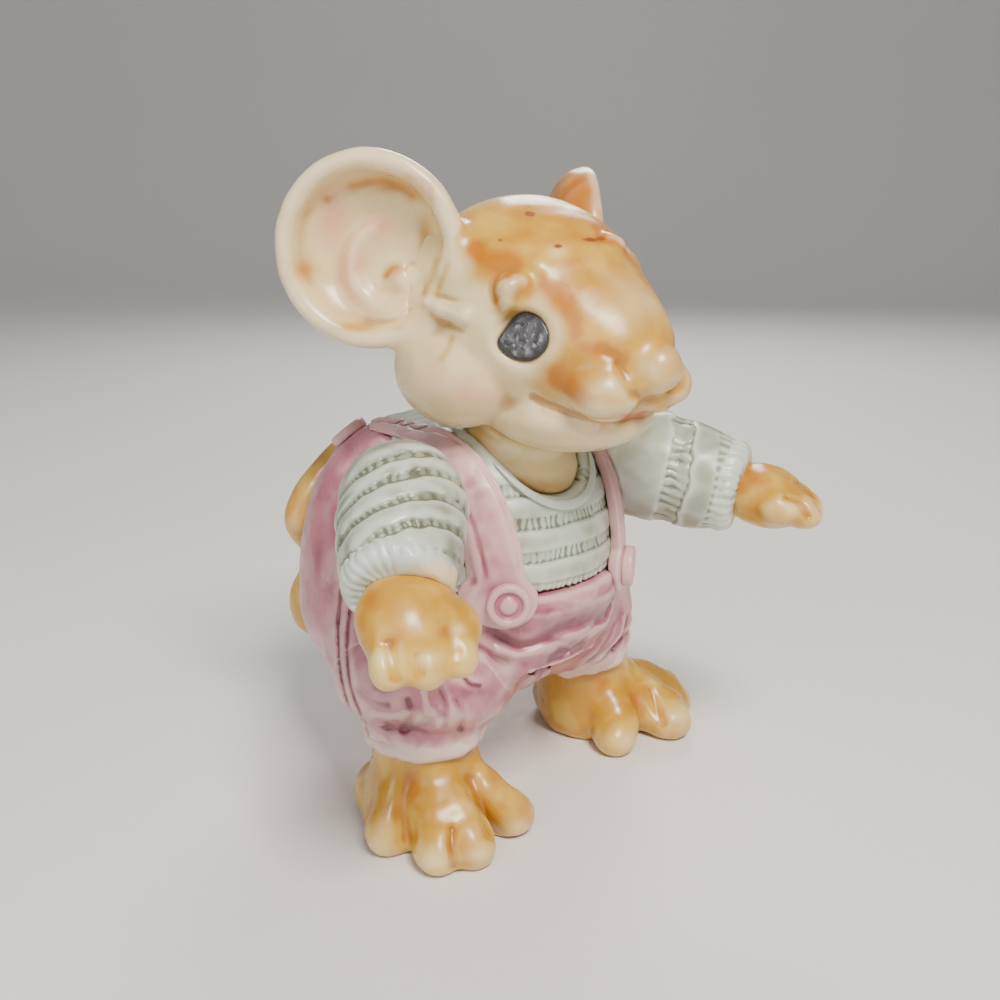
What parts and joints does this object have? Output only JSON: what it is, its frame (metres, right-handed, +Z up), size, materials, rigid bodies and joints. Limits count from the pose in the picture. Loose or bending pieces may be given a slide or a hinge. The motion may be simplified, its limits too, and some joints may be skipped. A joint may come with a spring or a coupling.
{
  "type": "mouse figurine",
  "caption": "Free-standing painted mouse ornament with big dished ears, striped jumper, dungarees, outstretched arms, broad flat-soled feet and a tail curling up its back.",
  "frame": {"origin": "on the floor, under the middle of the figure's bounding box", "axes": "+Z up, the figure looks along -Y, its own left side is +X"},
  "size_m": [0.0658, 0.0542, 0.0762],
  "materials": {
    "fur_glaze": "hand-painted cream with orange washes, satin glaze",
    "ear_glaze": "hand-painted cream and pale pink with ochre patches, satin glaze",
    "skin_glaze": "hand-painted yellow cream with ochre washes, satin glaze",
    "eye_glaze": "dark grey, speckled, satin glaze",
    "mint_glaze": "pale mint grey with green-grey wash in the grooves, satin glaze",
    "pink_glaze": "dusty pink with mauve wash in the folds, satin glaze",
    "button_glaze": "dusty pink, satin glaze"
  },
  "bodies": {
    "root": {"dungarees": "pink_glaze", "trouser_leg_right": "pink_glaze", "trouser_leg_left": "pink_glaze", "hem_right": "pink_glaze", "hem_left": "pink_glaze", "strap_right": "pink_glaze", "strap_left": "pink_glaze", "button_front_right": "button_glaze", "button_front_left": "button_glaze", "button_back_right": "button_glaze", "button_back_left": "button_glaze", "jumper": "mint_glaze", "collar": "mint_glaze", "sleeve_right": "mint_glaze", "sleeve_left": "mint_glaze", "cuff_right": "mint_glaze", "cuff_left": "mint_glaze", "head": "fur_glaze", "neck": "skin_glaze", "ear_right": "ear_glaze", "ear_left": "ear_glaze", "eye_right": "eye_glaze", "eye_left": "eye_glaze", "hand_right": "skin_glaze", "hand_left": "skin_glaze", "foot_right": "skin_glaze", "foot_left": "skin_glaze", "tail": "skin_glaze"}
  },
  "joints": []
}
